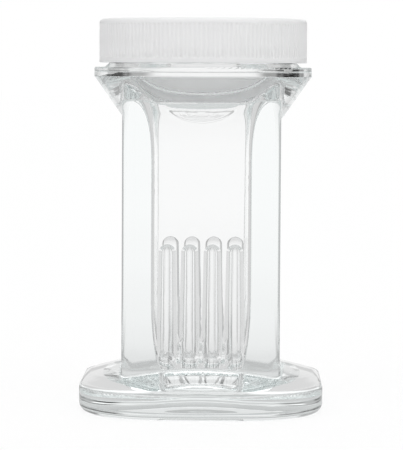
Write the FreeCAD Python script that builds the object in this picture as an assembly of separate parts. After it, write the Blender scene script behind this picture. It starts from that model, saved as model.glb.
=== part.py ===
import FreeCAD, Part
import math
import os

# Slide staining jar: a square pressed-glass jar on a wide foot, with a round threaded neck,
# a ribbed screw cap and a disc liner in the cap.
# Millimetres, +Z up. The origin is the middle of the foot's underside.
# The two ribbed walls of the chamber face -Y and +Y.

# ---- Chamber ----------------------------------------------------------------------------
SLIDE_WIDTH = 25.4            # the glass slides stand across the chamber, along Y
SLIDE_PLAY = 1.5              # room between a slide's edge and each ribbed wall
RIBS_PER_WALL = 4
RIB_PITCH = 5.85
END_SLOT = 4.225              # middle of the last rib to the plain wall
RIB_TIP_RADIUS = 2.25
RIB_FOOT_GAP = 0.15           # what is left between two ribs at the floor
RIB_TOP_GAP = 18.1            # top of the ribs to where the chamber starts to open out
CHAMBER_CORNER_RADIUS = 2.0
CHAMBER_FLOOR = 10.8
CHAMBER_FLOOR_ROUND = 2.2
CHAMBER_NARROWING = 1.9       # how far each wall has curved inwards at the floor
CHAMBER_NARROWING_HEIGHT = 18.2
NARROWING_SECTIONS = 4
EASING = 3.0                  # straight length that leads into each curved part of the walls

# ---- Foot -------------------------------------------------------------------------------
FOOT_REACH = 11.3             # how far the foot stands out beyond the body's sides
FOOT_CORNER_RADIUS = 20.0     # plan radius of the foot's corners
FOOT_CROWN_HEIGHT = 11.7      # height of the foot's top where it meets the body's sides
FOOT_CROWN_SLOPE = 0.28       # fall of the foot's top for each millimetre outwards
FOOT_SIDE_ROUND = 3.5         # rounding of the rim at the middle of a side
FOOT_CORNER_ROUND = 0.6       # rounding of the rim at a corner
FOOT_BOTTOM_ROUND = 2.5       # rounding of the foot's lower edge
FOOT_SECTIONS = 8
FOOT_RECESS_RADIUS = 24.0     # hollow under the foot, inside the ring that it rests on
FOOT_RECESS_DEPTH = 2.5
JUNCTION_ROUND = 0.8          # inside rounding between the body and the foot

# ---- Body -------------------------------------------------------------------------------
PLAIN_WALL = 7.5              # thickness of the walls without ribs
BODY_CORNER_RADIUS = 3.0
SHOULDER_HEIGHT = 11.7        # height over which the body flares out to the flange
SHOULDER_ROUND = 3.0          # inside rounding between the body's sides and its shoulder

# ---- Flange and neck --------------------------------------------------------------------
FLANGE_BOTTOM = 87.1
FLANGE_THICKNESS = 2.5
FLANGE_RIM = 3.8              # how far the flange stands out beyond the neck
FLANGE_EDGE_ROUND = 0.5
NECK_RADIUS = 24.9
NECK_WALL = 3.5
NECK_HEIGHT = 9.6             # flange top to lip
NECK_FOOT_HEIGHT = 0.9        # cone that joins the neck to the flange
NECK_FOOT_WIDTH = 1.1
LIP_ROUND = 0.8
BORE_DEPTH = 18.4             # lip to the ledge where the round bore ends
BORE_FLOOR_ROUND = 0.6
BORE_LEDGE = 0.4              # flat ring between the bore's floor rounding and the mouth
MOUTH_HEIGHT = 18.8           # height over which the square chamber opens to the bore
MOUTH_POWER = 3.0             # how late the walls spread; higher is later
MOUTH_ROUND_POWER = 1.4       # how late the corners round off
MOUTH_TURN = 81.0             # degrees of the walls' quarter turn; the bore's floor is flat beyond
MOUTH_SECTIONS = 10
NEARLY_ROUND = 0.995          # corner radius of a nearly round outline, as a share of its width

# ---- Screw thread -----------------------------------------------------------------------
THREAD_PITCH = 4.233          # six turns to the inch
THREAD_HEIGHT = 1.1           # how far the ridge stands out of its wall
THREAD_ROOT_WIDTH = 2.2
THREAD_CREST_WIDTH = 1.0
THREAD_TURNS = 1.15
THREAD_RUNOUT = 30.0          # degrees over which each end of the ridge sinks away
THREAD_BELOW_LIP = 2.3        # lip to the middle of the ridge's upper end
THREAD_CLEARANCE = 0.25       # radial gap between each crest and the other piece's wall
THREAD_START_ANGLE = 200.0
THREAD_EMBED = 0.3            # how deep the ridge's root lies inside its wall
THREAD_STEP = 15.0            # degrees between the sections that shape the ridge

# ---- Cap and liner ----------------------------------------------------------------------
CAP_WALL = 1.1                # skirt's thickness at the tips of the grip ribs
CAP_TOP_THICKNESS = 1.8
CAP_LIFT = 1.1                # gap between the skirt and the flange when the cap is tight
CAP_EDGE_ROUND = 1.0
CAP_RIB_COUNT = 144
CAP_RIB_DEPTH = 0.3
CAP_RIB_FOOT_SHARE = 0.64     # rib's width at its root, as a share of the rib pitch
CAP_RIB_TIP_SHARE = 0.28
CAP_BAND_HEIGHT = 1.1         # plain band at the skirt's lower edge
CAP_RIB_TOP_GAP = 1.3         # plain zone between the grip ribs and the cap's top
CAP_RIB_EMBED = 0.2
CAP_THREAD_RISE = 1.4         # skirt's lower edge to the middle of the thread's lower end
LINER_THICKNESS = 1.2
LINER_CLEARANCE = 0.3         # gap between the liner's rim and the skirt

# ---- Sizes that follow ------------------------------------------------------------------
CHAMBER_HALF_DEPTH = SLIDE_WIDTH / 2 + SLIDE_PLAY
CHAMBER_HALF_WIDTH = (RIBS_PER_WALL - 1) / 2 * RIB_PITCH + END_SLOT
RIB_FOOT_RADIUS = (RIB_PITCH - RIB_FOOT_GAP) / 2
BODY_HALF_WIDTH = CHAMBER_HALF_WIDTH + PLAIN_WALL
FOOT_HALF_WIDTH = BODY_HALF_WIDTH + FOOT_REACH
FOOT_CORNER_REACH = math.sqrt(2) * (FOOT_HALF_WIDTH - FOOT_CORNER_RADIUS) + FOOT_CORNER_RADIUS
CROWN_ANGLE = math.atan(FOOT_CROWN_SLOPE)
SHOULDER_START = FLANGE_BOTTOM - SHOULDER_HEIGHT
FLANGE_RADIUS = NECK_RADIUS + FLANGE_RIM
FLANGE_TOP = FLANGE_BOTTOM + FLANGE_THICKNESS
LIP_HEIGHT = FLANGE_TOP + NECK_HEIGHT
BORE_RADIUS = NECK_RADIUS - NECK_WALL
BORE_FLOOR = LIP_HEIGHT - BORE_DEPTH
MOUTH_START = BORE_FLOOR - MOUTH_HEIGHT
RIB_HEIGHT = MOUTH_START - RIB_TOP_GAP - CHAMBER_FLOOR
THREAD_RADIUS = NECK_RADIUS + THREAD_HEIGHT
THREAD_LOW = LIP_HEIGHT - THREAD_BELOW_LIP - THREAD_PITCH * THREAD_TURNS
SKIRT_INNER_RADIUS = THREAD_RADIUS + THREAD_CLEARANCE
CAP_OUTER_RADIUS = SKIRT_INNER_RADIUS + CAP_WALL
CAP_THREAD_RADIUS = NECK_RADIUS + THREAD_CLEARANCE
LINER_RADIUS = SKIRT_INNER_RADIUS - LINER_CLEARANCE
CAP_CEILING = LIP_HEIGHT + LINER_THICKNESS
CAP_TOP = CAP_CEILING + CAP_TOP_THICKNESS
SKIRT_BOTTOM = FLANGE_TOP + CAP_LIFT

UP = FreeCAD.Vector(0, 0, 1)
ORIGIN = FreeCAD.Vector(0, 0, 0)
TOUCHING = 1e-3               # how near two heights or faces count as the same


def point(x, y, z=0.0):
    return FreeCAD.Vector(x, y, z)


def line(start, end):
    return Part.LineSegment(start, end).toShape()


def arc_about(centre, radius, start_degrees, end_degrees):
    """Arc in a level plane, anticlockwise from above."""
    middle_degrees = (start_degrees + end_degrees) / 2
    ends = []
    for degrees in (start_degrees, middle_degrees, end_degrees):
        angle = math.radians(degrees)
        ends.append(centre + point(radius * math.cos(angle), radius * math.sin(angle)))
    return Part.Arc(*ends).toShape()


def rounded_rectangle(half_x, half_y, corner, height):
    """Level outline with four straight sides and four tangent corner arcs."""
    edges = []
    for quarter in range(4):
        sign_x = 1 if quarter in (0, 3) else -1
        sign_y = 1 if quarter in (0, 1) else -1
        centre = point(sign_x * (half_x - corner), sign_y * (half_y - corner), height)
        edges.append(arc_about(centre, corner, 90 * quarter, 90 * quarter + 90))
    outline = []
    for quarter in range(4):
        outline.append(edges[quarter])
        start = edges[quarter].Vertexes[-1].Point
        end = edges[(quarter + 1) % 4].Vertexes[0].Point
        outline.append(line(start, end))
    return Part.Wire(outline)


def prism(outline, height):
    return Part.Face(outline).extrude(UP * height)


def turned(profile_points):
    """Solid of revolution about the Z axis of a closed (radius, height) outline."""
    corners = [point(radius, 0, height) for radius, height in profile_points]
    outline = Part.makePolygon(corners + [corners[0]])
    return Part.Face(outline).revolve(ORIGIN, UP, 360)


def edges_at_height(shape, height):
    """The edges of a shape that lie level at one height."""
    found = []
    for edge in shape.Edges:
        box = edge.BoundBox
        if abs(box.ZMin - height) < TOUCHING and abs(box.ZMax - height) < TOUCHING:
            found.append(edge)
    return found


def corner_edges(shape, low, high):
    """The sloping edges between two heights that lie on the square body's surface."""
    reach = BODY_HALF_WIDTH + TOUCHING
    found = []
    for edge in shape.Edges:
        box = edge.BoundBox
        on_body = max(box.XMax, -box.XMin, box.YMax, -box.YMin) < reach
        between = box.ZMin > low - TOUCHING and box.ZMax < high + TOUCHING
        if on_body and between and box.ZLength > TOUCHING:
            found.append(edge)
    return found


def ridge_section(wall_radius, crest_radius, share, angle_degrees, height):
    """Trapezoid across a thread ridge; share is how much of the full ridge stands there."""
    outward = 1 if crest_radius > wall_radius else -1
    root_radius = wall_radius - outward * THREAD_EMBED
    tip_radius = wall_radius - outward * THREAD_EMBED / 2
    tip_radius += share * (crest_radius - tip_radius)
    angle = math.radians(angle_degrees)
    half_root = THREAD_ROOT_WIDTH / 2
    half_crest = THREAD_CREST_WIDTH / 2
    corners = []
    for radius, offset in ((root_radius, -half_root), (tip_radius, -half_crest),
                           (tip_radius, half_crest), (root_radius, half_root)):
        corners.append(point(radius * math.cos(angle), radius * math.sin(angle), height + offset))
    return Part.makePolygon(corners + [corners[0]])


def thread_ridge(wall_radius, crest_radius, start_angle, start_height):
    """Right-hand helical ridge that rises anticlockwise and sinks into its wall at both ends."""
    sweep = 360 * THREAD_TURNS
    steps = math.ceil(sweep / THREAD_STEP)
    sections = []
    for step in range(steps + 1):
        travel = sweep * step / steps
        share = min(1, travel / THREAD_RUNOUT, (sweep - travel) / THREAD_RUNOUT)
        height = start_height + THREAD_PITCH * travel / 360
        sections.append(ridge_section(wall_radius, crest_radius, share,
                                      start_angle + travel, height))
    return Part.makeLoft(sections, True, False)


def upright_height(reach, radius):
    """Height where a rim this far out stops being upright and rounds over to the foot's cone."""
    edge_height = FOOT_CROWN_HEIGHT - FOOT_CROWN_SLOPE * (reach - BODY_HALF_WIDTH)
    return edge_height - radius * math.tan((math.pi / 2 - CROWN_ANGLE) / 2)


def rounded_reach(reach, radius, height):
    """How far the foot reaches at a height, where its rim rounds over to its cone."""
    above_rim = min(max(height - upright_height(reach, radius), 0), radius)
    return reach - radius + math.sqrt(radius ** 2 - above_rim ** 2)


def cone_reach(height):
    """How far the cone of the foot's top reaches at a height."""
    return BODY_HALF_WIDTH + (FOOT_CROWN_HEIGHT - height) / FOOT_CROWN_SLOPE


def foot_section(height):
    """Level outline of the foot between its upright rim and its conical top."""
    side = min(rounded_reach(FOOT_HALF_WIDTH, FOOT_SIDE_ROUND, height), cone_reach(height))
    reach = min(rounded_reach(FOOT_CORNER_REACH, FOOT_CORNER_ROUND, height), cone_reach(height))
    corner = (math.sqrt(2) * side - reach) / (math.sqrt(2) - 1)
    return rounded_rectangle(side, side, min(corner, NEARLY_ROUND * side), height)


def make_foot():
    """Wide foot: rounded square plan, upright rim, top that falls gently away from the body."""
    rim_height = upright_height(FOOT_HALF_WIDTH, FOOT_SIDE_ROUND)
    rim = prism(rounded_rectangle(FOOT_HALF_WIDTH, FOOT_HALF_WIDTH, FOOT_CORNER_RADIUS, 0), rim_height)
    rim = rim.makeFillet(FOOT_BOTTOM_ROUND, edges_at_height(rim, 0))
    cone_start = rim_height + FOOT_SIDE_ROUND * math.cos(CROWN_ANGLE)
    sections = []
    for step in range(FOOT_SECTIONS + 1):
        sections.append(foot_section(rim_height + (cone_start - rim_height) * step / FOOT_SECTIONS))
    shoulder = Part.makeLoft(sections, True, False)
    crown = Part.makeCone(cone_reach(cone_start), BODY_HALF_WIDTH, FOOT_CROWN_HEIGHT - cone_start,
                          point(0, 0, cone_start))
    return rim.fuse([shoulder, crown])


def make_outside():
    """Foot, square body, flared shoulder, flange and neck as one block of glass."""
    body_outline = rounded_rectangle(BODY_HALF_WIDTH, BODY_HALF_WIDTH, BODY_CORNER_RADIUS, 0)
    body = prism(body_outline, FLANGE_TOP)
    flare = turned([(0, SHOULDER_START), (BODY_HALF_WIDTH, SHOULDER_START),
                    (FLANGE_RADIUS, FLANGE_BOTTOM), (FLANGE_RADIUS, FLANGE_TOP), (0, FLANGE_TOP)])
    flare = flare.makeFillet(FLANGE_EDGE_ROUND, edges_at_height(flare, FLANGE_TOP))
    neck = turned([(0, FLANGE_BOTTOM), (NECK_RADIUS, FLANGE_BOTTOM),
                   (NECK_RADIUS + NECK_FOOT_WIDTH, FLANGE_TOP),
                   (NECK_RADIUS, FLANGE_TOP + NECK_FOOT_HEIGHT),
                   (NECK_RADIUS, LIP_HEIGHT), (0, LIP_HEIGHT)])
    neck = neck.makeFillet(LIP_ROUND, edges_at_height(neck, LIP_HEIGHT))
    thread = thread_ridge(NECK_RADIUS, THREAD_RADIUS, THREAD_START_ANGLE, THREAD_LOW)
    body = body.fuse(flare).removeSplitter()
    body = body.makeFillet(SHOULDER_ROUND, corner_edges(body, SHOULDER_START, FLANGE_BOTTOM))
    block = make_foot().fuse(body).removeSplitter()
    block = block.makeFillet(JUNCTION_ROUND, corner_edges(block, 0, FOOT_CROWN_HEIGHT))
    return block.fuse([neck, thread])


def narrow_section(share):
    """Chamber outline near the floor, from the floor (0) to where the walls stand straight (1)."""
    narrowing = CHAMBER_NARROWING * (1 - share) ** 2
    height = CHAMBER_FLOOR + CHAMBER_NARROWING_HEIGHT * share
    return rounded_rectangle(CHAMBER_HALF_WIDTH - narrowing, CHAMBER_HALF_DEPTH - narrowing,
                             CHAMBER_CORNER_RADIUS, height)


def straight_section(height):
    return rounded_rectangle(CHAMBER_HALF_WIDTH, CHAMBER_HALF_DEPTH, CHAMBER_CORNER_RADIUS, height)


def mouth_section(turn):
    """Outline of the chamber's opening mouth, from its start (0) to the bore's floor (1)."""
    angle = math.radians(MOUTH_TURN * turn)
    full_rise = math.sin(math.radians(MOUTH_TURN)) ** (2 / MOUTH_POWER)
    rise = math.sin(angle) ** (2 / MOUTH_POWER) / full_rise
    spread = 1 - math.cos(angle) ** (2 / MOUTH_POWER)
    end_radius = BORE_RADIUS - BORE_FLOOR_ROUND - BORE_LEDGE
    half_x = CHAMBER_HALF_WIDTH + (end_radius - CHAMBER_HALF_WIDTH) * spread
    half_y = CHAMBER_HALF_DEPTH + (end_radius - CHAMBER_HALF_DEPTH) * spread
    corner = CHAMBER_CORNER_RADIUS
    corner += (end_radius * NEARLY_ROUND - corner) * spread ** MOUTH_ROUND_POWER
    return rounded_rectangle(half_x, half_y, corner, MOUTH_START + MOUTH_HEIGHT * rise)


def make_chamber():
    """The hollow of the jar: square well, mouth that opens to the round bore, slide ribs."""
    straight_start = CHAMBER_FLOOR + CHAMBER_NARROWING_HEIGHT + EASING
    straight_end = MOUTH_START - 2 * EASING
    sections = []
    for step in range(NARROWING_SECTIONS + 1):
        sections.append(narrow_section(step / NARROWING_SECTIONS))
    well = Part.makeLoft(sections + [straight_section(straight_start)], True, False)
    well = well.makeFillet(CHAMBER_FLOOR_ROUND, edges_at_height(well, CHAMBER_FLOOR))
    middle = prism(straight_section(straight_start), straight_end - straight_start)
    sections = [straight_section(straight_end), straight_section(straight_end + EASING)]
    for step in range(MOUTH_SECTIONS + 1):
        sections.append(mouth_section(step / MOUTH_SECTIONS))
    mouth = Part.makeLoft(sections, True, False)
    bore = Part.makeCylinder(BORE_RADIUS, BORE_DEPTH + 1, point(0, 0, BORE_FLOOR))
    bore = bore.makeFillet(BORE_FLOOR_ROUND, edges_at_height(bore, BORE_FLOOR))
    return well.fuse([middle, mouth, bore]).cut(make_ribs())


def make_ribs():
    """Half-round ribs on the two facing walls, with domed tops, that keep the slides apart."""
    ribs = []
    shaft_height = RIB_HEIGHT - RIB_TIP_RADIUS
    for side in (-1, 1):
        for number in range(RIBS_PER_WALL):
            x = (number - (RIBS_PER_WALL - 1) / 2) * RIB_PITCH
            base = point(x, side * CHAMBER_HALF_DEPTH, CHAMBER_FLOOR)
            shaft = Part.makeCone(RIB_FOOT_RADIUS, RIB_TIP_RADIUS, shaft_height, base)
            dome = Part.makeSphere(RIB_TIP_RADIUS, base + UP * shaft_height)
            ribs.append(shaft.fuse(dome))
    return ribs


def make_jar():
    jar = make_outside().cut(make_chamber())
    recess_sphere = (FOOT_RECESS_RADIUS ** 2 + FOOT_RECESS_DEPTH ** 2) / (2 * FOOT_RECESS_DEPTH)
    hollow = Part.makeSphere(recess_sphere, point(0, 0, FOOT_RECESS_DEPTH - recess_sphere))
    return jar.cut(hollow).removeSplitter()


def cap_shell():
    """Turned cap without its ribs: top, skirt, and a shallow zone where the ribs stand."""
    valley = CAP_OUTER_RADIUS - CAP_RIB_DEPTH
    rib_low = SKIRT_BOTTOM + CAP_BAND_HEIGHT
    rib_high = CAP_TOP - CAP_RIB_TOP_GAP
    shell = turned([(0, CAP_TOP), (CAP_OUTER_RADIUS, CAP_TOP), (CAP_OUTER_RADIUS, rib_high),
                    (valley, rib_high), (valley, rib_low), (CAP_OUTER_RADIUS, rib_low),
                    (CAP_OUTER_RADIUS, SKIRT_BOTTOM), (SKIRT_INNER_RADIUS, SKIRT_BOTTOM),
                    (SKIRT_INNER_RADIUS, CAP_CEILING), (0, CAP_CEILING)])
    return shell.makeFillet(CAP_EDGE_ROUND, edges_at_height(shell, CAP_TOP))


def cap_ribs():
    """Ring of fine upright ribs round the skirt."""
    valley = CAP_OUTER_RADIUS - CAP_RIB_DEPTH
    step = 2 * math.pi / CAP_RIB_COUNT
    outline = []
    for number in range(CAP_RIB_COUNT):
        for radius, share in ((valley, -CAP_RIB_FOOT_SHARE), (CAP_OUTER_RADIUS, -CAP_RIB_TIP_SHARE),
                              (CAP_OUTER_RADIUS, CAP_RIB_TIP_SHARE), (valley, CAP_RIB_FOOT_SHARE)):
            angle = (number + share / 2) * step
            outline.append(point(radius * math.cos(angle), radius * math.sin(angle)))
    toothed = Part.Face(Part.makePolygon(outline + [outline[0]]))
    ring = toothed.cut(Part.Face(Part.Wire(Part.makeCircle(valley - CAP_RIB_EMBED))))
    height = CAP_TOP - CAP_RIB_TOP_GAP - SKIRT_BOTTOM - CAP_BAND_HEIGHT
    ring = ring.extrude(UP * height)
    ring.translate(UP * (SKIRT_BOTTOM + CAP_BAND_HEIGHT))
    return ring


def make_screw_cap():
    thread_low = SKIRT_BOTTOM + CAP_THREAD_RISE
    lag = (thread_low + THREAD_PITCH / 2 - THREAD_LOW) / THREAD_PITCH * 360
    thread = thread_ridge(SKIRT_INNER_RADIUS, CAP_THREAD_RADIUS, THREAD_START_ANGLE + lag, thread_low)
    return cap_shell().fuse([cap_ribs(), thread]).removeSplitter()


def make_cap_liner():
    return Part.makeCylinder(LINER_RADIUS, LINER_THICKNESS, point(0, 0, LIP_HEIGHT))


def main():
    os.makedirs("parts", exist_ok=True)
    pieces = {"jar": make_jar(), "screw_cap": make_screw_cap(), "cap_liner": make_cap_liner()}
    for name, shape in pieces.items():
        print(name, "solids", len(shape.Solids), "valid", shape.isValid(),
              "volume", round(shape.Volume, 1), "faces", len(shape.Faces))
        shape.exportStep(f"parts/{name}.step")


main()
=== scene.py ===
import math

import bpy
from bpy.props import FloatProperty, FloatVectorProperty, IntProperty, PointerProperty
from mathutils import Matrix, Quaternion, Vector


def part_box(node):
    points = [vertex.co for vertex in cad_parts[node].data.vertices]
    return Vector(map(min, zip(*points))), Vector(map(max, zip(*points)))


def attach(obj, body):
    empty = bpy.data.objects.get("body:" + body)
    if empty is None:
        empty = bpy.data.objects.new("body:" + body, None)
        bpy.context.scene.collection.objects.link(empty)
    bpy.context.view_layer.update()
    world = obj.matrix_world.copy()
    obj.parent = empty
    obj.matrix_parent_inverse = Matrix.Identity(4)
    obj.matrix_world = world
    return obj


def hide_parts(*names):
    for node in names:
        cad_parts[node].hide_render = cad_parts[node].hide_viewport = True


bl_info = {
    "name": "Slide staining jar",
    "version": (1, 0, 0),
    "blender": (4, 5, 0),
    "location": "3D View > Sidebar > Staining jar",
    "description": "Builds the looks of a glass slide staining jar with a ribbed screw cap",
    "category": "Add Mesh",
}

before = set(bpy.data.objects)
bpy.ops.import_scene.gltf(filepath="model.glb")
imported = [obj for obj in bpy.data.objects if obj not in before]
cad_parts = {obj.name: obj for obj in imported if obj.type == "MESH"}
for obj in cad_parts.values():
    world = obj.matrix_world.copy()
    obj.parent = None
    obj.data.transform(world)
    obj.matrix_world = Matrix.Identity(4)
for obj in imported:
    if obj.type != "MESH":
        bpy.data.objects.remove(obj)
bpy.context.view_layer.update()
CAP_LOW, CAP_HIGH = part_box("screw_cap")
LINER_LOW, LINER_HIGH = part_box("cap_liner")

FULL_TURN = 2 * math.pi
WELD = 1e-6                    # metres; points nearer than this are one point
THREAD_PITCH = 0.004233        # six turns to the inch

# The cap's small sizes, in metres where they are lengths
POINTS_PER_RIB = 8
RIB_END = 0.0004               # height over which a grip rib runs out into the skirt
RIB_FOOT_SHARE = 0.72          # a rib's widths at its foot and tip, as shares of the pitch
RIB_TIP_SHARE = 0.16
SKIRT_EDGE_ROUND = 0.00025
THREAD_ROOT = 0.0003           # how far the ridge is sunk into the skirt
THREAD_FOOT_HALF = 0.0011      # half the ridge's height at its foot, and at its tip
THREAD_TIP_HALF = 0.0005
THREAD_TIP_GAP = 0.00005       # taken off the thread's height
THREAD_RISE = 0.0014           # from the skirt's lower edge to the thread's lower end
THREAD_START = math.radians(200)
THREAD_TURNS = 1.15
THREAD_RUNOUT = 0.07           # share of the thread over which each end sinks away

# The glass surface: patterns are in repeats per metre
SLOW_WAVES, FINE_WAVES = 45, 260
FINE_WAVE_STRETCH = (1, 1, 0.35)
FINE_WAVE_SHARE = 0.12         # of the slow waves' height
MOULD_LINE_WIDTH, MOULD_LINE_HEIGHT = 0.0002, 0.00002


# ---- Settings ---------------------------------------------------------------------------
class JarSettings(bpy.types.PropertyGroup):
    tint: FloatVectorProperty(
        name="Tint", description="Colour that thick glass takes up", subtype="COLOR",
        size=3, min=0, max=1, default=(0.56, 0.80, 0.79))
    tint_density: FloatProperty(
        name="Tint density", description="How strongly the glass takes up colour, per metre",
        min=0, default=2.0)
    ior: FloatProperty(
        name="Index of refraction", description="Of soda-lime glass", min=1, default=1.52)
    waviness: FloatProperty(
        name="Waviness", description="Height of the pressed surface's slow waves",
        unit="LENGTH", min=0, default=0.0001)
    mould_line: FloatProperty(
        name="Mould line", description="Height of the line where the mould's halves meet",
        unit="LENGTH", default=0.0884)
    smooth_angle: FloatProperty(
        name="Smooth angle", description="Edges sharper than this stay crisp",
        subtype="ANGLE", default=math.radians(20))


class CapSettings(bpy.types.PropertyGroup):
    radius: FloatProperty(
        name="Radius", description="Over the tips of the grip ribs", unit="LENGTH",
        default=CAP_HIGH.x)
    wall: FloatProperty(
        name="Skirt wall", description="Skirt's thickness at the rib tips", unit="LENGTH",
        default=0.0011)
    top_thickness: FloatProperty(
        name="Top thickness", description="Of the cap's flat top", unit="LENGTH",
        default=CAP_HIGH.z - LINER_HIGH.z)
    edge_round: FloatProperty(
        name="Edge rounding", description="Radius round the cap's top edge", unit="LENGTH",
        default=0.0011)
    band_height: FloatProperty(
        name="Band height", description="Plain band at the skirt's lower edge", unit="LENGTH",
        default=0.0011)
    rib_top_gap: FloatProperty(
        name="Rib top gap", description="From the cap's top to the ribs", unit="LENGTH",
        default=0.0013)
    rib_count: IntProperty(
        name="Ribs", description="Number of grip ribs", min=8, default=144)
    rib_depth: FloatProperty(
        name="Rib depth", description="From tip to valley", unit="LENGTH", default=0.00015)
    thread_height: FloatProperty(
        name="Thread height", description="How far the thread stands in from the skirt",
        unit="LENGTH", default=0.0011)
    colour: FloatVectorProperty(
        name="Colour", description="Of the moulded plastic", subtype="COLOR",
        size=3, min=0, max=1, default=(0.845, 0.846, 0.85))


class LinerSettings(bpy.types.PropertyGroup):
    lip_gap: FloatProperty(
        name="Lip gap", description="Keeps the disc's underside off the glass lip",
        unit="LENGTH", min=0, default=0.00005)
    edge_round: FloatProperty(
        name="Edge rounding", description="Radius round the disc's edges", unit="LENGTH",
        default=0.0003)
    colour: FloatVectorProperty(
        name="Colour", description="Of the foamed plastic", subtype="COLOR",
        size=3, min=0, max=1, default=(0.94, 0.94, 0.938))


class StageSettings(bpy.types.PropertyGroup):
    floor_colour: FloatVectorProperty(
        name="Floor colour", description="Of the sheet that the jar stands on",
        subtype="COLOR", size=3, min=0, max=1, default=(0.98, 0.98, 0.98))
    floor_lift: FloatProperty(
        name="Floor lift", description="Share of plain white in the floor where it is seen",
        min=0, max=1, default=0.8)
    light_bounces: IntProperty(
        name="Light bounces", description="How often light may turn inside the thick glass",
        min=4, default=48)
    camera_place: FloatVectorProperty(
        name="Camera place", description="Where the camera stands", subtype="TRANSLATION",
        size=3, default=(0.0107, -0.620, 0.0903))
    camera_aim: FloatVectorProperty(
        name="Camera aim", description="The point that the camera looks at",
        subtype="TRANSLATION", size=3, default=(-0.00021, 0.0, 0.0478))
    camera_roll: FloatProperty(
        name="Camera roll", description="Turn about its own axis", subtype="ANGLE",
        default=math.radians(0.3))
    camera_lens: FloatProperty(
        name="Lens", description="Focal length in millimetres", min=10, default=187.4)


# ---- Node trees -------------------------------------------------------------------------
class Nodes:
    """Short calls for the nodes and sums of one node tree."""

    def __init__(self, tree):
        self.nodes, self.links = tree.nodes, tree.links

    def node(self, kind, links=None, **settings):
        node = self.nodes.new(kind)
        for setting, value in settings.items():
            setattr(node, setting, value)
        for socket, value in (links or {}).items():
            if isinstance(value, bpy.types.NodeSocket):
                self.links.new(value, node.inputs[socket])
            else:
                node.inputs[socket].default_value = value
        return node

    def sum(self, operation, *values):
        links = dict(enumerate(values))
        return self.node("ShaderNodeMath", links, operation=operation).outputs[0]


class Tree(Nodes):
    """A geometry node tree with named inputs."""

    def __init__(self, name, inputs):
        self.tree = bpy.data.node_groups.new(name, "GeometryNodeTree")
        super().__init__(self.tree)
        side = self.tree.interface
        side.new_socket("Geometry", in_out="INPUT", socket_type="NodeSocketGeometry")
        for label, kind, default in inputs:
            socket = side.new_socket(label, in_out="INPUT", socket_type="NodeSocket" + kind)
            if default is not None:
                socket.default_value = default
        side.new_socket("Geometry", in_out="OUTPUT", socket_type="NodeSocketGeometry")
        self.inputs = self.nodes.new("NodeGroupInput").outputs

    def finish(self, geometry, material):
        realized = self.node("GeometryNodeRealizeInstances", {"Geometry": geometry})
        painted = self.node("GeometryNodeSetMaterial",
                            {"Geometry": realized.outputs[0], "Material": material})
        end = self.nodes.new("NodeGroupOutput")
        self.links.new(painted.outputs[0], end.inputs[0])
        return self.tree

    def crisp_edges(self, geometry, angle):
        """Smooth faces, with a crisp edge wherever the surface turns by more than an angle."""
        smooth = self.node("GeometryNodeSetShadeSmooth", {"Geometry": geometry,
                                                          "Shade Smooth": True})
        turn = self.node("GeometryNodeInputMeshEdgeAngle").outputs["Unsigned Angle"]
        gentle = self.node("FunctionNodeCompare", {"A": turn, "B": angle},
                           data_type="FLOAT", operation="LESS_THAN").outputs[0]
        return self.node("GeometryNodeSetShadeSmooth",
                         {"Geometry": smooth.outputs[0], "Shade Smooth": gentle},
                         domain="EDGE").outputs[0]

    def grid_turn(self, profile, segments):
        """A sheet of one row of points for each profile point, and where each point belongs:
        its profile point's radius and height, and how far round it is, from 0 to 1."""
        rows = self.node("GeometryNodeAttributeDomainSize", {"Geometry": profile},
                         component="MESH").outputs["Point Count"]
        columns = self.sum("ADD", segments, 1)
        sheet = self.node("GeometryNodeMeshGrid", {"Size X": 1.0, "Size Y": 1.0,
                                                   "Vertices X": rows, "Vertices Y": columns})
        place = self.node("GeometryNodeInputPosition").outputs[0]
        place = self.node("ShaderNodeSeparateXYZ", {0: place}).outputs
        row = self.sum("MULTIPLY", self.sum("ADD", place[0], 0.5),
                       self.sum("SUBTRACT", rows, 1))
        row = self.node("FunctionNodeFloatToInt", {0: row}, rounding_mode="ROUND").outputs[0]
        own = self.node("GeometryNodeInputPosition").outputs[0]
        sampled = self.node("GeometryNodeSampleIndex", {"Geometry": profile, "Value": own,
                                                        "Index": row},
                            data_type="FLOAT_VECTOR", domain="POINT").outputs[0]
        sampled = self.node("ShaderNodeSeparateXYZ", {0: sampled}).outputs
        return sheet.outputs["Mesh"], sampled[0], sampled[2], self.sum("ADD", place[1], 0.5)

    def set_round(self, sheet, radius, angle, height):
        across = self.sum("MULTIPLY", radius, self.sum("COSINE", angle))
        along = self.sum("MULTIPLY", radius, self.sum("SINE", angle))
        place = self.node("ShaderNodeCombineXYZ", {0: across, 1: along, 2: height}).outputs[0]
        moved = self.node("GeometryNodeSetPosition", {"Geometry": sheet, "Position": place})
        return self.node("GeometryNodeMergeByDistance",
                         {"Geometry": moved.outputs[0], "Distance": WELD}).outputs[0]


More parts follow.
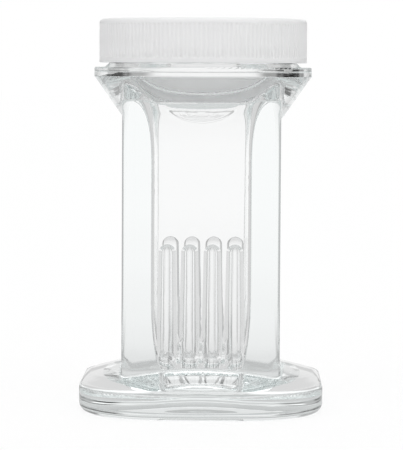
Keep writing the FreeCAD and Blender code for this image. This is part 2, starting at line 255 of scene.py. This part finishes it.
def turned_tree(material):
    """Turns a profile about Z, and cuts upright grip ribs into its outermost wall."""
    tree = Tree("Turned piece", [
        ("Segments", "Int", 360), ("Crisp Angle", "Float", math.radians(35)),
        ("Rib Count", "Int", 1), ("Rib Depth", "Float", 0.0), ("Rib Radius", "Float", 1.0),
        ("Rib Low", "Float", 0.0), ("Rib High", "Float", 1.0), ("Rib End", "Float", 0.001),
        ("Rib Foot Share", "Float", 0.7), ("Rib Tip Share", "Float", 0.2)])
    given = tree.inputs
    sheet, radius, height, turn = tree.grid_turn(given["Geometry"], given["Segments"])
    angle = tree.sum("MULTIPLY", turn, FULL_TURN)
    ribs_passed = tree.sum("MULTIPLY", turn, given["Rib Count"])
    phase = tree.sum("FRACT", tree.sum("ADD", ribs_passed, 0.5))
    from_tip = tree.sum("ABSOLUTE", tree.sum("SUBTRACT", phase, 0.5))
    half_foot = tree.sum("MULTIPLY", given["Rib Foot Share"], 0.5)
    half_tip = tree.sum("MULTIPLY", given["Rib Tip Share"], 0.5)
    valley = tree.node("ShaderNodeMapRange", {"Value": from_tip, "From Min": half_tip,
                                              "From Max": half_foot},
                       interpolation_type="SMOOTHSTEP").outputs[0]
    above = tree.sum("SUBTRACT", height, given["Rib Low"])
    below = tree.sum("SUBTRACT", given["Rib High"], height)
    inside = tree.sum("DIVIDE", tree.sum("MINIMUM", above, below), given["Rib End"])
    inside = tree.node("ShaderNodeMapRange", {"Value": inside},
                       interpolation_type="SMOOTHSTEP").outputs[0]
    outermost = tree.sum("GREATER_THAN", radius, given["Rib Radius"])
    cut = tree.sum("MULTIPLY", tree.sum("MULTIPLY", valley, inside),
                   tree.sum("MULTIPLY", outermost, given["Rib Depth"]))
    radius = tree.sum("SUBTRACT", radius, cut)
    mesh = tree.set_round(sheet, radius, angle, height)
    return tree.finish(tree.crisp_edges(mesh, given["Crisp Angle"]), material)


def thread_tree(material):
    """Winds a ridge's cross-section up a screw line; both ends sink to nothing in the wall."""
    tree = Tree("Thread ridge", [
        ("Segments", "Int", 180), ("Crisp Angle", "Float", math.radians(35)),
        ("Wall Radius", "Float", 0.02), ("Low", "Float", 0.0), ("Start Angle", "Float", 0.0),
        ("Sweep", "Float", FULL_TURN), ("Pitch", "Float", THREAD_PITCH),
        ("Runout Share", "Float", 0.07)])
    given = tree.inputs
    sheet, radius, height, turn = tree.grid_turn(given["Geometry"], given["Segments"])
    swept = tree.sum("MULTIPLY", turn, given["Sweep"])
    nearest_end = tree.sum("MINIMUM", turn, tree.sum("SUBTRACT", 1.0, turn))
    share = tree.node("ShaderNodeMapRange",
                      {"Value": tree.sum("DIVIDE", nearest_end, given["Runout Share"])},
                      interpolation_type="SMOOTHSTEP").outputs[0]
    stand = tree.sum("MULTIPLY", tree.sum("SUBTRACT", radius, given["Wall Radius"]), share)
    radius = tree.sum("ADD", given["Wall Radius"], stand)
    rise = tree.sum("MULTIPLY", tree.sum("DIVIDE", swept, FULL_TURN), given["Pitch"])
    height = tree.sum("ADD", tree.sum("MULTIPLY", height, share),
                      tree.sum("ADD", rise, given["Low"]))
    angle = tree.sum("ADD", swept, given["Start Angle"])
    mesh = tree.set_round(sheet, radius, angle, height)
    return tree.finish(tree.crisp_edges(mesh, given["Crisp Angle"]), material)


def clean_glass_tree(material):
    """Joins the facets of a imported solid, and marks the edges between its smooth surfaces."""
    tree = Tree("Clean glass surface", [("Crisp Angle", "Float", math.radians(20))])
    joined = tree.node("GeometryNodeMergeByDistance",
                       {"Geometry": tree.inputs["Geometry"], "Distance": WELD / 10}).outputs[0]
    return tree.finish(tree.crisp_edges(joined, tree.inputs["Crisp Angle"]), material)


def add_tree(piece, tree, **values):
    """Puts a node tree on a piece, with its inputs set by their sockets' identifiers."""
    modifier = piece.modifiers.new(tree.name, "NODES")
    modifier.node_group = tree
    labels = {label.replace("_", " ").title(): value for label, value in values.items()}
    for socket in tree.interface.items_tree:
        if socket.in_out == "INPUT" and socket.name in labels:
            modifier[socket.identifier] = labels.pop(socket.name)
    if labels:
        raise RuntimeError(f"{tree.name} has no inputs named {sorted(labels)}")
    return modifier


# ---- Making meshes ----------------------------------------------------------------------
def chain(name, points):
    """An object whose mesh is one open chain of (radius, height) points in the XZ plane."""
    mesh = bpy.data.meshes.new(name)
    corners = [(radius, 0, height) for radius, height in points]
    mesh.from_pydata(corners, [(i, i + 1) for i in range(len(points) - 1)], [])
    piece = bpy.data.objects.new(name, mesh)
    bpy.context.scene.collection.objects.link(piece)
    return piece


def bake(piece):
    """Makes the result of a piece's node tree its plain mesh."""
    depsgraph = bpy.context.evaluated_depsgraph_get()
    mesh = bpy.data.meshes.new_from_object(piece.evaluated_get(depsgraph), depsgraph=depsgraph)
    piece.modifiers.clear()
    piece.data = mesh
    mesh.name = piece.name
    return piece


def join_meshes(piece, *others):
    """Adds other pieces' meshes to a piece, and removes those pieces."""
    for chosen in bpy.context.selected_objects:
        chosen.select_set(False)
    for part in (piece, *others):
        part.select_set(True)
    bpy.context.view_layer.objects.active = piece
    if bpy.ops.object.join() != {"FINISHED"}:
        raise RuntimeError(f"{piece.name} could not be joined")
    return piece


def arc(centre, radius, start, end, steps):
    """Points (radius, height) of an arc in a profile; angles in degrees from outwards."""
    points = []
    for step in range(steps + 1):
        angle = math.radians(start + (end - start) * step / steps)
        points.append((centre[0] + radius * math.cos(angle),
                       centre[1] + radius * math.sin(angle)))
    return points


def rows_between(radius, low, high, steps):
    return [(radius, low + (high - low) * step / steps) for step in range(steps + 1)]


# ---- Materials --------------------------------------------------------------------------
class Shading(Nodes):
    """A shader node tree, with calls that blend values and read tables of levels."""

    def blend(self, share, low, high):
        rise = self.sum("MULTIPLY", share, self.sum("SUBTRACT", high, low))
        return self.sum("ADD", low, rise)

    def ranged(self, value, low, high, start=0.3, end=0.7, smooth=False):
        return self.node("ShaderNodeMapRange",
                         {"Value": value, "From Min": start, "From Max": end,
                          "To Min": low, "To Max": high},
                         interpolation_type="SMOOTHSTEP" if smooth else "LINEAR").outputs[0]

    def levels_round(self, share, edges, levels, ramp=2.5):
        """One level for each sector between edges, in degrees from straight behind the jar."""
        node = self.node("ShaderNodeFloatCurve", {"Value": share})
        node.mapping.use_clip = False
        line = node.mapping.curves[0]
        for edge, before, after in zip(edges, levels, levels[1:]):
            line.points.new((edge - ramp) / 360 + 0.5, before)
            line.points.new((edge + ramp) / 360 + 0.5, after)
        line.points[0].location = (0, levels[0])
        line.points[-1].location = (1, levels[-1])
        for place in line.points:
            place.handle_type = "VECTOR"
        node.mapping.update()
        return node.outputs[0]

    def levels_table(self, across, along, value, table, edges, ramp):
        """Reads a table of rows, each (where the row starts, its levels all round)."""
        share = self.sum("ADD", self.sum("DIVIDE", self.sum("ARCTAN2", across, along),
                                         FULL_TURN), 0.5)
        level = None
        for start, levels in table:
            row = self.levels_round(share, edges, levels)
            if level is None:
                level = row
            else:
                step = self.ranged(value, 0.0, 1.0, start * (1 - ramp), start * (1 + ramp),
                                   smooth=True)
                level = self.blend(step, level, row)
        return level


class Finish(Shading):
    """A node material round one Principled shader."""

    def __init__(self, name, **constants):
        self.material = bpy.data.materials.new(name)
        self.material.use_nodes = True
        super().__init__(self.material.node_tree)
        self.shader = self.nodes["Principled BSDF"]
        self.output = self.nodes["Material Output"]
        for label, value in constants.items():
            self.shader.inputs[label.replace("_", " ")].default_value = value
        self.place = self.node("ShaderNodeTexCoord").outputs["Object"]

    def noise(self, scale, detail=2.0, stretch=None):
        place = self.place
        if stretch:
            place = self.node("ShaderNodeMapping",
                              {"Vector": place, "Scale": stretch}).outputs[0]
        return self.node("ShaderNodeTexNoise", {"Vector": place, "Scale": scale,
                                                "Detail": detail}).outputs["Fac"]

    def bump(self, height, strength, distance, below=None):
        links = {"Height": height, "Strength": strength, "Distance": distance}
        if below is not None:
            links["Normal"] = below
        return self.node("ShaderNodeBump", links).outputs[0]

    def drive(self, label, value):
        self.links.new(value, self.shader.inputs[label])

    def mottle(self, colour, scale, darkest):
        """Gives the base colour slow patches that are a little darker."""
        tone = self.ranged(self.noise(scale, 3), darkest, 1.0)
        mixed = self.node("ShaderNodeMix", {"Factor": 1.0, "A": (*colour, 1), "B": tone},
                          data_type="RGBA", blend_type="MULTIPLY")
        self.drive("Base Color", mixed.outputs["Result"])


def glass_finish(settings):
    finish = Finish("pressed_glass", Base_Color=(1, 1, 1, 1), Roughness=0.0,
                    Transmission_Weight=1.0, IOR=settings.ior)
    flow = finish.bump(finish.noise(SLOW_WAVES, 1), 1.0, settings.waviness)
    ripple = finish.bump(finish.noise(FINE_WAVES, 1, FINE_WAVE_STRETCH), 1.0,
                         settings.waviness * FINE_WAVE_SHARE, flow)
    height = finish.node("ShaderNodeSeparateXYZ", {0: finish.place}).outputs[2]
    from_line = finish.sum("ABSOLUTE", finish.sum("SUBTRACT", height, settings.mould_line))
    ridge = finish.ranged(from_line, 1.0, 0.0, 0.0, MOULD_LINE_WIDTH, smooth=True)
    finish.drive("Normal", finish.bump(ridge, 1.0, MOULD_LINE_HEIGHT, ripple))
    volume = finish.node("ShaderNodeVolumeAbsorption",
                         {"Color": (*settings.tint, 1), "Density": settings.tint_density})
    finish.links.new(volume.outputs[0], finish.output.inputs["Volume"])
    return finish.material


def cap_finish(settings):
    finish = Finish("cap_plastic", Roughness=0.42, Subsurface_Weight=0.6,
                    Subsurface_Radius=(1, 1, 1), Subsurface_Scale=0.0009)
    finish.shader.subsurface_method = "RANDOM_WALK"
    finish.mottle(settings.colour, scale=90, darkest=0.985)
    finish.drive("Roughness", finish.ranged(finish.noise(700), 0.36, 0.5))
    grain = finish.noise(2600)
    finish.drive("Normal", finish.bump(grain, strength=0.04, distance=0.00004))
    return finish.material


def liner_finish(settings):
    finish = Finish("liner_foam", Roughness=0.6, Subsurface_Weight=0.6,
                    Subsurface_Radius=(1, 1, 1), Subsurface_Scale=0.003)
    finish.mottle(settings.colour, scale=120, darkest=0.97)
    cells = finish.node("ShaderNodeTexVoronoi", {"Vector": finish.place, "Scale": 1500.0})
    finish.drive("Normal", finish.bump(cells.outputs["Distance"], strength=0.1,
                                       distance=0.00005))
    return finish.material


# ---- Operators --------------------------------------------------------------------------
class STAININGJAR_OT_glass_jar(bpy.types.Operator):
    """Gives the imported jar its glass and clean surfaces"""
    bl_idname = "staining_jar.glass_jar"
    bl_label = "Glass jar"

    def execute(self, context):
        settings = context.scene.staining_jar_glass
        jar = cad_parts["jar"]
        glass = glass_finish(settings)
        jar.data.materials.clear()
        jar.data.materials.append(glass)
        add_tree(jar, clean_glass_tree(glass), crisp_angle=settings.smooth_angle)
        even = jar.modifiers.new("Even shading", "WEIGHTED_NORMAL")
        even.mode = "FACE_AREA_WITH_ANGLE"
        even.keep_sharp = True
        return {"FINISHED"}


class STAININGJAR_OT_screw_cap(bpy.types.Operator):
    """Builds the ribbed screw cap with its inside thread"""
    bl_idname = "staining_jar.screw_cap"
    bl_label = "Screw cap"

    def execute(self, context):
        settings = context.scene.staining_jar_cap
        plastic = cap_finish(settings)
        top, bottom = CAP_HIGH.z, CAP_LOW.z
        outer = settings.radius
        inner = outer - settings.wall
        ceiling = top - settings.top_thickness
        rounding = settings.edge_round
        rib_low = bottom + settings.band_height
        rib_high = top - settings.rib_top_gap
        profile = [(0, top), (outer * 0.5, top), (outer - 2 * rounding, top)]
        profile += arc((outer - rounding, top - rounding), rounding, 90, 0, 6)
        profile += rows_between(outer, rib_high, rib_high - RIB_END, 4)
        profile += rows_between(outer, rib_high - 2 * RIB_END, rib_low + 2 * RIB_END, 4)
        profile += rows_between(outer, rib_low + RIB_END, rib_low, 4)
        edge = SKIRT_EDGE_ROUND
        profile += arc((outer - edge, bottom + edge), edge, 0, -90, 3)
        profile += arc((inner + edge, bottom + edge), edge, -90, -180, 3)
        profile += [(inner, (bottom + ceiling) / 2)]
        profile += arc((inner - edge, ceiling - edge), edge, 0, 90, 3)
        profile += [(inner * 0.5, ceiling), (0, ceiling)]
        cap = chain("cap", profile)
        add_tree(cap, turned_tree(plastic), segments=POINTS_PER_RIB * settings.rib_count,
                 rib_count=settings.rib_count, rib_depth=settings.rib_depth,
                 rib_radius=outer - rounding * 0.02, rib_low=rib_low, rib_high=rib_high,
                 rib_end=RIB_END, rib_foot_share=RIB_FOOT_SHARE, rib_tip_share=RIB_TIP_SHARE)
        bake(cap)
        foot = inner + THREAD_ROOT
        tip = inner - (settings.thread_height - THREAD_TIP_GAP)
        section = [(foot, THREAD_FOOT_HALF), (tip, THREAD_TIP_HALF), (tip, -THREAD_TIP_HALF),
                   (foot, -THREAD_FOOT_HALF), (foot, THREAD_FOOT_HALF)]
        ridge = chain("cap_thread", section)
        add_tree(ridge, thread_tree(plastic), wall_radius=foot, low=bottom + THREAD_RISE,
                 start_angle=THREAD_START, sweep=FULL_TURN * THREAD_TURNS,
                 runout_share=THREAD_RUNOUT)
        bake(ridge)
        join_meshes(cap, ridge)
        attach(cap, "cap")
        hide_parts("screw_cap")
        return {"FINISHED"}


class STAININGJAR_OT_cap_liner(bpy.types.Operator):
    """Builds the sealing disc inside the cap"""
    bl_idname = "staining_jar.cap_liner"
    bl_label = "Cap liner"

    def execute(self, context):
        settings = context.scene.staining_jar_liner
        foam = liner_finish(settings)
        radius, high = LINER_HIGH.x, LINER_HIGH.z
        low = LINER_LOW.z + settings.lip_gap
        rounding = settings.edge_round
        profile = [(0, high), (radius * 0.5, high)]
        profile += arc((radius - rounding, high - rounding), rounding, 90, 0, 4)
        profile += arc((radius - rounding, low + rounding), rounding, 0, -90, 4)
        profile += [(radius * 0.5, low), (0, low)]
        liner = chain("liner_disc", profile)
        add_tree(liner, turned_tree(foam), segments=240)
        bake(liner)
        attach(liner, "liner")
        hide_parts("cap_liner")
        return {"FINISHED"}


class STAININGJAR_OT_stage(bpy.types.Operator):
    """Makes the floor, the studio light and the camera"""
    bl_idname = "staining_jar.stage"
    bl_label = "Stage"

    def execute(self, context):
        settings = context.scene.staining_jar_stage
        add_floor(settings)
        add_studio(context.scene)
        add_camera(context.scene, settings)
        context.scene.view_settings.view_transform = "Standard"
        cycles = context.scene.cycles
        cycles.max_bounces = settings.light_bounces
        cycles.glossy_bounces = settings.light_bounces
        cycles.transmission_bounces = settings.light_bounces
        cycles.blur_glossy = 0
        return {"FINISHED"}


# Levels of the studio's light all round the jar, one for each sector between these edges,
# in degrees from straight behind it. They light the pieces and show in the glass and in gloss.
# The camera itself sees plain white. A level of 1 is white. Each row starts at a height of the
# direction that the light comes from, from 0 for level to 1 for straight up.
SKY_EDGES = (-115, -75, -58, -40, -26, -12, 12, 26, 40, 58, 75, 115)
SKY_LEVELS = (
    (0, (0.70, 0.60, 0.03, 0.00, 0.10, 0.42, 0.95, 0.33, 0.00, 0.00, 0.00, 0.60, 0.70)),
    (0.07, (0.70, 0.60, 0.20, 0.05, 0.44, 0.30, 0.64, 0.00, 0.34, 0.15, 0.23, 0.60, 0.70)),
    (0.174, (0.70, 0.60, 0.50, 0.49, 0.49, 1.07, 1.07, 1.07, 0.49, 0.49, 0.50, 0.60, 0.70)),
    (0.342, (0.88, 0.50, 0.50, 0.37, 0.37, 0.79, 0.79, 0.79, 0.14, 0.14, 0.65, 0.65, 0.88)),
    (0.643, (1.43, 0.53, 0.53, 1.14, 1.14, 1.14, 1.14, 1.14, 1.14, 1.14, 0.69, 0.69, 1.43)),
    (0.906, (1.70, 1.70, 1.70, 1.70, 1.70, 1.70, 1.70, 1.70, 1.70, 1.70, 1.70, 1.70, 1.70)),
)
# Painted light and shade on the floor, which glass and gloss show in place of the lit floor and
# its real shadow: the low levels near the jar are its painted shadow, and the low levels to the
# sides are painted shade. Each row starts at a distance from the jar's middle, in metres.
FLOOR_EDGES = (-105, -60, -30, 30, 60, 105)
FLOOR_PAINTED_SHADE_LEVELS = (
    (0, (0.67, 0.67, 0.67, 0.67, 0.67, 0.67, 0.67)),
    (0.03, (0.70, 0.66, 0.43, 0.51, 0.43, 0.66, 0.70)),
    (0.05, (1.01, 0.66, 0.38, 0.73, 0.41, 0.66, 1.01)),
    (0.08, (0.70, 0.66, 0.44, 0.75, 0.30, 0.66, 0.70)),
    (0.12, (0.72, 0.66, 0.52, 0.87, 0.46, 0.66, 0.72)),
    (0.18, (0.76, 0.66, 0.52, 0.92, 0.46, 0.66, 0.76)),
    (0.26, (0.70, 0.66, 0.52, 0.94, 0.46, 0.66, 0.70)),
    (0.38, (0.70, 0.66, 0.52, 0.98, 0.46, 0.66, 0.70)),
    (0.7, (0.73, 0.66, 0.52, 1.00, 0.46, 0.66, 0.73)),
)


def add_floor(settings):
    """A wide pale floor that keeps the jar's shadow where the camera sees it. Glass and gloss
    show the floor's painted light and shade from the table above instead, which no lamp and no
    shadow changes."""
    reach = 6.0
    mesh = bpy.data.meshes.new("floor")
    mesh.from_pydata([(-reach, -reach, 0), (reach, -reach, 0), (reach, reach, 0),
                      (-reach, reach, 0)], [], [(0, 1, 2, 3)])
    floor = bpy.data.objects.new("floor", mesh)
    bpy.context.scene.collection.objects.link(floor)
    sheet = Finish("floor_with_painted_shade", Roughness=0.9, Specular_IOR_Level=0.0,
                   Base_Color=(*settings.floor_colour, 1))
    path = sheet.node("ShaderNodeLightPath").outputs
    through = sheet.sum("MAXIMUM", path["Is Glossy Ray"], path["Is Transmission Ray"])
    parts = sheet.node("ShaderNodeSeparateXYZ", {0: sheet.place}).outputs
    distance = sheet.node("ShaderNodeVectorMath", {0: sheet.place},
                          operation="LENGTH").outputs["Value"]
    # Painted light and shade of the floor, for glass and gloss rays only
    level = sheet.levels_table(parts[0], parts[1], distance, FLOOR_PAINTED_SHADE_LEVELS, FLOOR_EDGES,
                               ramp=0.3)
    # Glass and gloss rays see the painted floor shade as emission; camera rays see a strength
    # of 1
    seen = sheet.blend(through, 1.0, level)
    white = sheet.node("ShaderNodeEmission", {"Color": (1, 1, 1, 1), "Strength": seen})
    share = sheet.sum("ADD", sheet.sum("MULTIPLY", path["Is Camera Ray"], settings.floor_lift),
                      through)
    mixed = sheet.node("ShaderNodeMixShader", {0: share, 1: sheet.shader.outputs[0],
                                               2: white.outputs[0]})
    sheet.links.new(mixed.outputs[0], sheet.output.inputs["Surface"])
    mesh.materials.append(sheet.material)


def add_studio(scene):
    """Light from all round at the levels of SKY_LEVELS, behind a white that only the camera
    sees."""
    world = bpy.data.worlds.new("studio")
    scene.world = world
    world.use_nodes = True
    studio = Shading(world.node_tree)
    direction = studio.node("ShaderNodeTexCoord").outputs["Generated"]
    parts = studio.node("ShaderNodeSeparateXYZ", {0: direction}).outputs
    level = studio.levels_table(parts[0], parts[1], parts[2], SKY_LEVELS, SKY_EDGES,
                                ramp=0.15)
    path = studio.node("ShaderNodeLightPath").outputs
    background = studio.nodes["Background"]
    background.inputs["Color"].default_value = (1, 1, 1, 1)
    studio.links.new(studio.blend(path["Is Camera Ray"], level, 1.0),
                     background.inputs["Strength"])


def add_camera(scene, settings):
    camera = bpy.data.objects.new("camera", bpy.data.cameras.new("camera"))
    scene.collection.objects.link(camera)
    camera.data.sensor_width = 36
    camera.data.lens = settings.camera_lens
    camera.data.clip_end = 100
    place, aim = Vector(settings.camera_place), Vector(settings.camera_aim)
    camera.location = place
    camera.rotation_mode = "QUATERNION"
    look = (aim - place).to_track_quat("-Z", "Y")
    camera.rotation_quaternion = look @ Quaternion((0, 0, 1), settings.camera_roll)
    scene.camera = camera


# ---- Panel and registration -------------------------------------------------------------
class STAININGJAR_PT_panel(bpy.types.Panel):
    bl_idname = "STAININGJAR_PT_panel"
    bl_label = "Slide staining jar"
    bl_space_type = "VIEW_3D"
    bl_region_type = "UI"
    bl_category = "Staining jar"

    def draw(self, context):
        for operator, group in STEPS:
            box = self.layout.box()
            box.operator(operator.bl_idname)
            settings = getattr(context.scene, group)
            for name in settings.__annotations__:
                box.prop(settings, name)


STEPS = ((STAININGJAR_OT_glass_jar, "staining_jar_glass"),
         (STAININGJAR_OT_screw_cap, "staining_jar_cap"),
         (STAININGJAR_OT_cap_liner, "staining_jar_liner"),
         (STAININGJAR_OT_stage, "staining_jar_stage"))
GROUPS = {"staining_jar_glass": JarSettings, "staining_jar_cap": CapSettings,
          "staining_jar_liner": LinerSettings, "staining_jar_stage": StageSettings}


def register():
    for name, group in GROUPS.items():
        bpy.utils.register_class(group)
        setattr(bpy.types.Scene, name, PointerProperty(type=group))
    for operator, _ in STEPS:
        bpy.utils.register_class(operator)
    bpy.utils.register_class(STAININGJAR_PT_panel)


def unregister():
    bpy.utils.unregister_class(STAININGJAR_PT_panel)
    for operator, _ in STEPS:
        bpy.utils.unregister_class(operator)
    for name, group in GROUPS.items():
        delattr(bpy.types.Scene, name)
        bpy.utils.unregister_class(group)


def main():
    register()
    bpy.ops.staining_jar.glass_jar()
    bpy.ops.staining_jar.screw_cap()
    bpy.ops.staining_jar.cap_liner()
    bpy.ops.staining_jar.stage()


if __name__ == "__main__":
    main()
